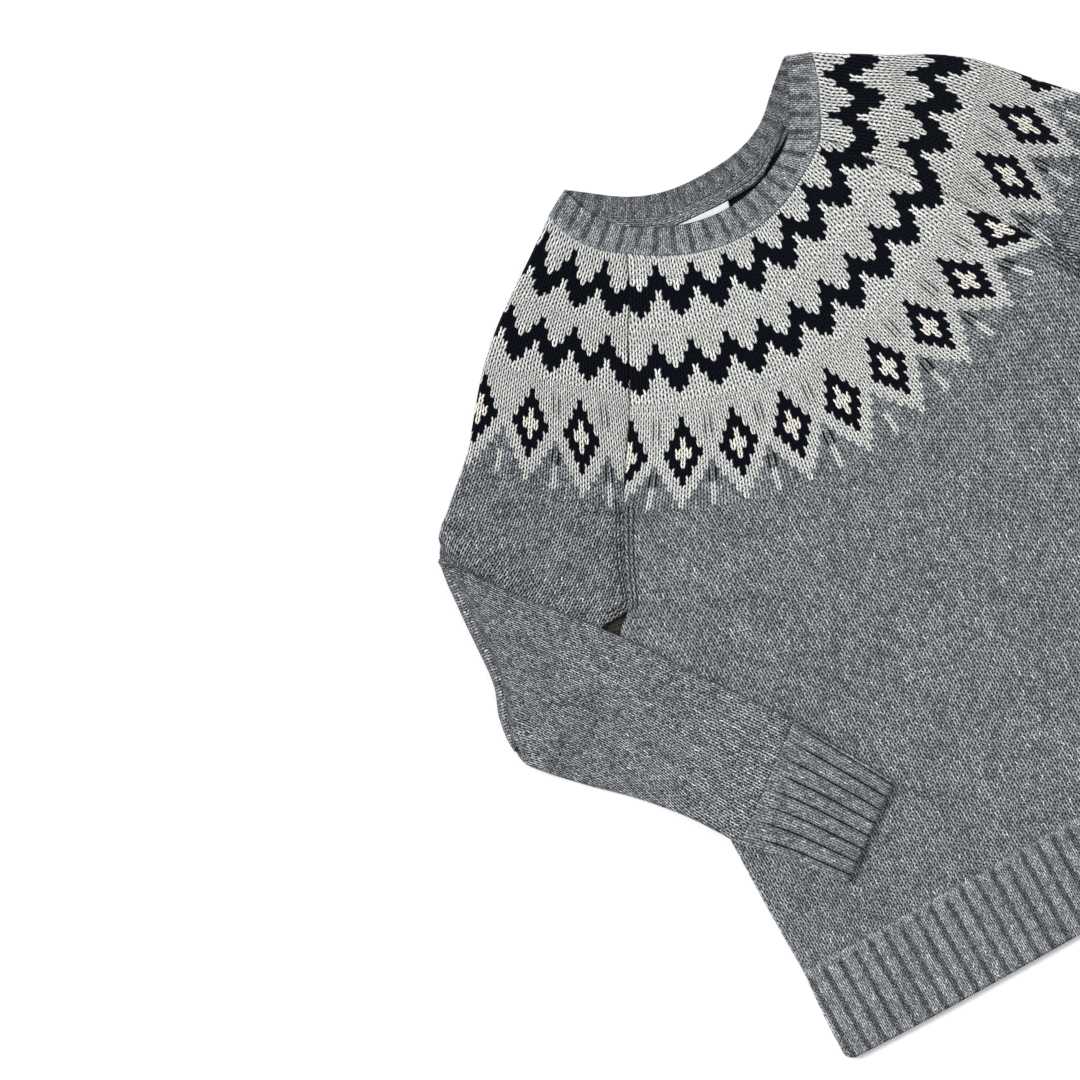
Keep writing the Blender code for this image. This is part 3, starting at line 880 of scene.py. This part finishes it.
class Knit:
    """One material under construction, with the knitting coordinates of its piece."""

    def __init__(self, name):
        self.material = bpy.data.materials.new(name)
        self.material.use_nodes = True
        self.tree = self.material.node_tree
        self.shader = self.tree.nodes["Principled BSDF"]
        self.place, self.course = self.coordinates("knit")

    def coordinates(self, name):
        """Both values of a UV map. Those of "seam" are the distance from the raglan seam,
        in millimetres, and the share rolled over a fold."""
        uv = self.tree.nodes.new("ShaderNodeUVMap")
        uv.uv_map = name
        split = self.tree.nodes.new("ShaderNodeSeparateXYZ")
        self.tree.links.new(uv.outputs["UV"], split.inputs["Vector"])
        return Field(self.tree, split.outputs["X"]), Field(self.tree, split.outputs["Y"])

    def vector(self, x, y, z=0.0):
        node = self.tree.nodes.new("ShaderNodeCombineXYZ")
        for socket, item in zip(node.inputs, (x, y, z)):
            feed(self.tree, socket, item)
        return node.outputs["Vector"]

    def chance(self, x, y, z=0.0):
        """An even random value for each whole (x, y, z)."""
        node = self.tree.nodes.new("ShaderNodeTexWhiteNoise")
        node.noise_dimensions = "3D"
        self.tree.links.new(self.vector(x, y, z), node.inputs["Vector"])
        return Field(self.tree, node.outputs["Value"])

    def noise(self, x, y, z=0.0, scale=1.0, detail=1.0):
        node = self.tree.nodes.new("ShaderNodeTexNoise")
        node.inputs["Scale"].default_value = scale
        node.inputs["Detail"].default_value = detail
        self.tree.links.new(self.vector(x, y, z), node.inputs["Vector"])
        return Field(self.tree, node.outputs["Fac"])

    def blend(self, share, first, second):
        """first where share is 0 and second where it is 1."""
        node = self.tree.nodes.new("ShaderNodeMix")
        node.data_type = "RGBA"
        feed(self.tree, node.inputs["Factor"], share)
        sockets = [s for s in node.inputs if s.type == "RGBA"]
        for socket, item in zip(sockets, (first, second)):
            feed(self.tree, socket, item)
        return [s for s in node.outputs if s.type == "RGBA"][0]

    def shaded(self, colour, share):
        """The colour times a value."""
        node = self.tree.nodes.new("ShaderNodeVectorMath")
        node.operation = "SCALE"
        feed(self.tree, node.inputs[0], colour)
        feed(self.tree, node.inputs["Scale"], share)
        return node.outputs["Vector"]

    def finish(self, colour, height, distance, roughness=0.92, sheen=0.03):
        self.tree.links.new(colour, self.shader.inputs["Base Color"])
        self.shader.inputs["Roughness"].default_value = roughness
        self.shader.inputs["Specular IOR Level"].default_value = 0.06
        self.shader.inputs["Sheen Weight"].default_value = sheen
        self.shader.inputs["Sheen Roughness"].default_value = 0.5
        bump = self.tree.nodes.new("ShaderNodeBump")
        bump.inputs["Strength"].default_value = 1.0
        bump.inputs["Distance"].default_value = distance * MM
        self.tree.links.new(height.socket, bump.inputs["Height"])
        self.tree.links.new(bump.outputs["Normal"], self.shader.inputs["Normal"])
        return self.material


# Yarn colours, linear, except the inside's grey marl, which is painted dark as shade
MARL = (0.250, 0.262, 0.280)
INSIDE_PAINTED_SHADE = (0.060, 0.056, 0.050)
LIGHT = (0.84, 0.865, 0.83)
NAVY = (0.004, 0.005, 0.012)
CREAM = (0.98, 0.95, 0.86)
LABEL_WHITE = (0.92, 0.94, 0.96)

# Zones of the yoke: last course, stitch width at the first course given, that course,
# and what a course adds to the width
GAUGES = (
    (13.0, 4.20, 1.0, 0.085),
    (27.0, 4.40, 15.0, 0.065),
    (49.0, 3.755, 29.0, 0.06),
)
BODY_STITCH = 4.65
ZIGZAG_STITCHES = 6.0           # repeats of the zigzags and of the diamonds
DIAMOND_STITCHES = 10.0
DIAMOND_SHIFT = 0.45            # stitches between the wales of the zigzags and diamonds
SEAM_WALE = 3.3                 # width of the wales beside the raglan seam
SLANT = 0.8                     # drop of a stitch's middle below its sides, in courses
ZIGZAGS = (1.0, 15.0)           # courses where the zigzags start
DIAMONDS = 29.0                 # course where the diamonds start
DIAMOND_MIDDLE = 6.5            # courses from there to the diamonds' middle
SLIT_PLACE = 0.56               # stitches from the half way wale to the slits beside it
PAINTED_LIGHT_RANGE = (75.0, 115.0)     # courses over which the sleeve's marl goes from painted shade on the upper arm to painted light on the forearm
PLY = (0.36, 0.64)              # the noise's range, from the darkest ply to the palest


def stitches(knit, width, place, course):
    """Stitches across, column, row, and the gaps beside and between their legs, which are painted
    dark as shade and sunk in the bump.
    """
    across = place / width
    # no two stitches are pulled quite alike
    across = across + (knit.noise(across, course, 2.0, scale=0.55) - 0.5) * 0.24
    course = course + (knit.noise(across, course, 7.0, scale=0.4) - 0.5) * 0.32
    across = across + (course - DIAMONDS + 1.0).above(0.0) * DIAMOND_SHIFT
    column = (across + 0.5).floor()
    off = (across - column).size()
    lowered = course - (off * -2.0 + 1.0) * SLANT
    row = lowered.floor()
    share = lowered.fraction()
    beside_leg = (off * 4.0 - 1.0).size()
    between_rows = (share * 2.0 - 1.0).size()
    line = beside_leg.ramp(0.3, 1.0)
    joint = between_rows.ramp(0.2, 1.0)
    return across, column, row, line, joint


def yarn(knit, place, course, column, row):
    """Brightness of the legs, the fine plies and broad patches of the marled yarn."""
    leg = knit.chance(column, row, 3.0)
    down = course * COURSE
    ply = knit.noise(place, down * 0.8, 0.0, scale=1.0, detail=2.0)
    patch = knit.noise(place, down, 5.0, scale=0.03, detail=2.0)
    return leg, ply, patch


def marled(knit, leg, ply, patch, column, row):
    """Brightness of the grey marl, dark and light plies with a few pale flecks."""
    shade = ply.ramp(*PLY, 0.42, 2.1) * (leg * 0.8 + 0.6)
    fleck = knit.chance(column, row, 9.0).above(0.93) * ply.ramp(0.42, 0.58)
    return (shade + fleck * 1.3) * (patch * 0.5 + 0.8)


def knit_material(name, contrast=1.0, seam_clear=0.0, painted_light_tones=(1.0, 1.0)):
    """Stocking stitch with the yoke's pattern in the courses near the neck. No diamond is
    knitted nearer to the raglan seam than seam_clear. The last argument scales the marl's
    brightness above and below the elbow, as painted shade and painted light."""
    knit = Knit(name)
    place, course = knit.place, knit.course
    width = course * 0.0 + BODY_STITCH
    for last, start_width, start, growth in reversed(GAUGES):
        inside = course.below(last)
        zone = (course - start) * growth + start_width
        width = width + (zone - width) * inside
    across, column, row, line, joint = stitches(knit, width, place, course)
    half = column * 2.0 + (across - column).above(0.0)
    # zigzags five courses deep that step two courses down for each stitch, with paler
    # stitches at their tips
    aside = column.folded(ZIGZAG_STITCHES / 2.0)
    navy = course * 0.0
    tips = course * 0.0
    for start in ZIGZAGS:
        rise = row - start - (aside * 2.0).least(5.0)
        navy = navy + rise.above(-0.5) * rise.below(4.5)
        crown = aside.below(0.5) * rise.above(4.5) * rise.below(6.5)
        tongue = aside.above(2.5) * rise.above(-2.5) * rise.below(-0.5)
        tips = tips + crown + tongue
    # navy diamonds with a cream middle, on points of light grey with a tick between them
    aside = column.folded(DIAMOND_STITCHES / 2.0)
    rise = row - DIAMONDS
    distance, rolled = knit.coordinates("seam")
    whole = distance.above(seam_clear)
    reach = (rise - DIAMOND_MIDDLE).size() + aside * 2.0
    navy = navy + reach.below(6.7) * whole
    cream = reach.below(2.7) * whole
    tick = aside.above(4.5) * rise.above(13.5) * rise.below(18.5)
    light = (rise + aside * 2.0).below(18.5).most(tick)
    # the yarn
    leg, ply, patch = yarn(knit, place, course, half, row)
    grey_shade = (marled(knit, leg, ply, patch, half, row) - 1.0) * contrast
    grey_shade = grey_shade * (rolled * -0.6 + 1.0) + 1.0
    # painted shade on the upper arm and painted light on the forearm
    grey_shade = grey_shade * course.ramp(*PAINTED_LIGHT_RANGE, *painted_light_tones)
    light_shade = ply.ramp(*PLY, 0.62, 1.42) * (leg * 0.26 + 0.87)
    light_shade = light_shade * (tips * 0.2 + 1.0) * (cream * 0.12 + 1.0)
    shade = grey_shade + (light_shade - grey_shade) * light
    base = knit.blend(light, MARL, LIGHT)
    base = knit.blend(navy.least(1.0), base, NAVY)
    base = knit.blend(cream, base, CREAM)
    # slits of shadow beside the wales half way between the diamonds
    mid = across.folded(DIAMOND_STITCHES / 2.0) * -1.0 + DIAMOND_STITCHES / 2.0
    some = knit.chance((across / DIAMOND_STITCHES).floor(), 4.0, 1.0).above(0.25)
    slit = (mid - SLIT_PLACE).size().ramp(0.12, 0.3, 1.0, 0.0) * some
    upper_slit = (rise - 2.0).size().ramp(1.4, 2.6, 0.8, 0.0)
    slit = slit * (rise - 12.0).size().ramp(1.2, 2.6, 1.0, 0.0).most(upper_slit)
    # the raglan seam, and the wales that run along it below the yoke: the seam's groove and the
    # gaps between these wales are painted dark as shade, the gaps also sunk in the bump
    seam = distance.ramp(0.2, 1.3, 0.55, 0.0)
    beside = (distance / SEAM_WALE).fraction()
    beside = (beside - 0.5).size().ramp(0.14, 0.44, 0.0, 0.78)
    beside = beside * distance.ramp(7.0, 11.5, 1.0, 0.0) * distance.above(SEAM_WALE * 0.5)
    beside = beside * course.ramp(43.0, 49.0)
    # the gaps between the legs, painted dark as shade, less over a fold, whose rolled edge is
    # itself painted a little darker as shade
    dark = (line * joint * 0.8 + line * 0.4 + joint * 0.18) * contrast * (rolled * -0.8 + 1.0)
    open_share = (dark * -1.0 + 1.0).most(0.0) * (slit * -0.95 + 1.0)
    open_share = open_share * (seam * -1.0 + 1.0) * (beside * -1.0 + 1.0)
    open_share = open_share * (rolled * -0.4 + 1.0)
    colour = knit.shaded(base, shade * open_share)
    height = (line * -1.0 + 1.0) * (joint * -0.5 + 1.0) + ply * 0.4 - line * joint * 0.5
    return knit.finish(colour, height - beside, 0.9)


def inside_material(name):
    """The inside, its grey marl painted dark as shade, where the yoke's navy yarn is carried behind
    the other.
    """
    knit = Knit(name)
    bars = ((knit.course * 2.0).fraction() * 2.0 - 1.0).size().ramp(0.2, 1.0)
    yoke = knit.course.ramp(26.0, 30.0, 1.0, 0.0)
    ply = knit.noise(knit.place, knit.course * COURSE, 0.0, scale=0.7, detail=2.0)
    colour = knit.blend(yoke, INSIDE_PAINTED_SHADE, NAVY)
    shade = ply.ramp(0.3, 0.7, 0.6, 1.3) * (bars * -0.4 + 1.0)
    return knit.finish(knit.shaded(colour, shade), ply - bars * 0.5, 0.8)


def rib_material(name, period, stitch, groove_dark, groove_half=0.2, deepening=(0.0, 1.0),
                 tone_and_shade=1.0, rim_course=1000.0):
    """Ribbing: ribs of stocking stitch with grooves of purl between them, which deepen
    over the courses given, up to a rim whose last courses are painted darker as shade.
    The grooves and the gaps between the stitches are painted dark as shade, and the
    brightness factor is the ribbing's own colour or painted shade."""
    knit = Knit(name)
    place, course = knit.place, knit.course
    across, column, row, line, joint = stitches(knit, stitch, place + stitch / 2.0, course)
    half = column * 2.0 + (across - column).above(0.0)
    phase = (place / period + 0.5).fraction() - 0.5
    groove = phase.size().ramp(groove_half * 0.5, groove_half * 1.5, 1.0, 0.0)
    rib_number = (place / period + 0.5).floor()
    late = knit.chance(rib_number, 1.0, 2.0) * 1.5
    groove = groove * (course - late).ramp(deepening[0] - 1.0, deepening[1])
    leg, ply, patch = yarn(knit, place, course, half, row)
    # painted shade in the gaps between the stitches, and in the grooves between the ribs and their
    # purl bars
    dark = line * joint * 0.6 + line * 0.3 + joint * 0.16
    bars = ((course * 2.0).fraction() * 2.0 - 1.0).size().ramp(0.3, 1.0)
    dark = dark * (groove * -0.5 + 1.0) + groove * groove_dark + groove * bars * 0.2
    # the rim's last courses are painted darker as shade, at the rolled lip
    rim = course.ramp(rim_course - 0.6, rim_course, 1.0, 0.6)
    shade = marled(knit, leg, ply, patch, half, row) * rim * tone_and_shade
    colour = knit.shaded(MARL, shade * (dark * -1.0 + 1.0).most(0.0))
    height = (line * -1.0 + 1.0) * (groove * -0.8 + 1.0) + ply * 0.5 - groove * bars * 0.4
    return knit.finish(colour, height, 0.7)


def label_material():
    """Plain woven ribbon."""
    knit = Knit("label_ribbon")
    warp = (knit.place * 2.5).fraction()
    weft = (knit.course * 2.5).fraction()
    weave = (warp - 0.5).size() + (weft - 0.5).size()
    shade = weave * 0.08 + 0.94
    colour = knit.shaded(LABEL_WHITE, shade)
    return knit.finish(colour, weave, 0.1, roughness=0.55, sheen=0.0)


def add_camera():
    """The camera, straight above, turned against the jumper."""
    data = bpy.data.cameras.new("camera")
    camera = bpy.data.objects.new("camera", data)
    bpy.context.scene.collection.objects.link(camera)
    height = 1.7
    view_width = 0.81
    data.sensor_width = 36.0
    data.lens = data.sensor_width * height / view_width
    data.clip_end = 300.0
    camera.location = ((ORIGIN_X - 244.6) * MM, (ORIGIN_Y - 221.4) * MM, height)
    camera.rotation_euler = (0.0, 0.0, math.radians(-29.5))
    bpy.context.scene.camera = camera


def add_floor():
    """A plain pale floor."""
    mesh = bpy.data.meshes.new("floor")
    reach = 60.0
    mesh.from_pydata([(-reach, -reach, 0.0), (reach, -reach, 0.0), (reach, reach, 0.0),
                      (-reach, reach, 0.0)], [], [(0, 1, 2, 3)])
    floor = bpy.data.objects.new("floor", mesh)
    floor.location.z = cad_box[0][2] - FLOOR_GAP
    bpy.context.scene.collection.objects.link(floor)
    material = bpy.data.materials.new("floor")
    material.use_nodes = True
    shader = material.node_tree.nodes["Principled BSDF"]
    shader.inputs["Base Color"].default_value = (0.97, 0.97, 0.97, 1.0)
    shader.inputs["Roughness"].default_value = 0.9
    shader.inputs["Emission Color"].default_value = (1.0, 1.0, 1.0, 1.0)
    shader.inputs["Emission Strength"].default_value = 0.08
    mesh.materials.append(material)


def add_light():
    """Soft studio light, a little stronger from the neck's side."""
    scene = bpy.context.scene
    world = bpy.data.worlds.new("world")
    world.use_nodes = True
    world.node_tree.nodes["Background"].inputs["Color"].default_value = (1.0, 1.0, 1.0, 1.0)
    world.node_tree.nodes["Background"].inputs["Strength"].default_value = 0.55
    scene.world = world
    data = bpy.data.lights.new("key", "SUN")
    data.energy = 2.4
    data.angle = math.radians(22.0)
    light = bpy.data.objects.new("key", data)
    light.rotation_euler = (0.0, math.radians(-46.0), math.radians(-50.0))
    scene.collection.objects.link(light)
    scene.view_settings.view_transform = "Standard"


def dress(piece, node, material, inside=None):
    """Put a piece in a node's place, with its finish."""
    piece.data.materials.append(material)
    piece.data.materials.append(inside or material)
    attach(piece, "root")
    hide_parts(node)


add_camera()
add_floor()
add_light()
body_knit = knit_material("fair_isle_knit")
# The sleeves' marl and painted gap shade have more contrast, and the upper arm is painted darker as
# shade, the forearm lighter as light
sleeve_knit = knit_material("fair_isle_sleeve", 1.3, 11.0, (0.92, 1.09))
body_inside = inside_material("fair_isle_inside")
hem_rib = rib_material("hem_rib", RIB_PERIOD, RIB_PERIOD / 4.0, 0.54, 0.16, tone_and_shade=1.15)
cuff_rib = rib_material("cuff_rib", CUFF_RIB_PERIOD, CUFF_RIB_PERIOD / 3.0, 0.65, 0.075, (0.0, 5.0),
                        tone_and_shade=0.89)
# The neckband's rim is painted darker as shade
neck_rib = rib_material("neck_rib", RIB_PERIOD, RIB_PERIOD / 4.0, 0.54, 0.15, tone_and_shade=1.15,
                        rim_course=NECKBAND_WIDTH / COURSE)
# The neckband's inside and the neck tape are painted darker as shade by their brightness factor
neck_inside = rib_material("neck_inside", RIB_PERIOD, RIB_PERIOD / 4.0, 0.42, tone_and_shade=0.85)
tape_knit = rib_material("tape_knit", 3.1, 3.1, 0.35, tone_and_shade=0.8)

front, back = build_body()
hem_front, hem_back = build_hem()
sleeve_left, sleeve_right = build_sleeves()
cuff_left, cuff_right = build_cuffs()
neckband = build_neckband()
tape, label = build_neck_trims()

for piece, node, material in ((front, "front", body_knit), (back, "back", body_knit),
                              (sleeve_left, "sleeve_left", sleeve_knit),
                              (sleeve_right, "sleeve_right", sleeve_knit)):
    dress(piece, node, material, body_inside)
for piece, node, material in ((hem_front, "hem_front", hem_rib), (hem_back, "hem_back", hem_rib),
                              (cuff_left, "cuff_left", cuff_rib),
                              (cuff_right, "cuff_right", cuff_rib)):
    dress(piece, node, material)
dress(neckband, "neckband", neck_rib, neck_inside)
dress(tape, "neck_tape", tape_knit)
dress(label, "neck_label", label_material())

bpy.context.view_layer.update()
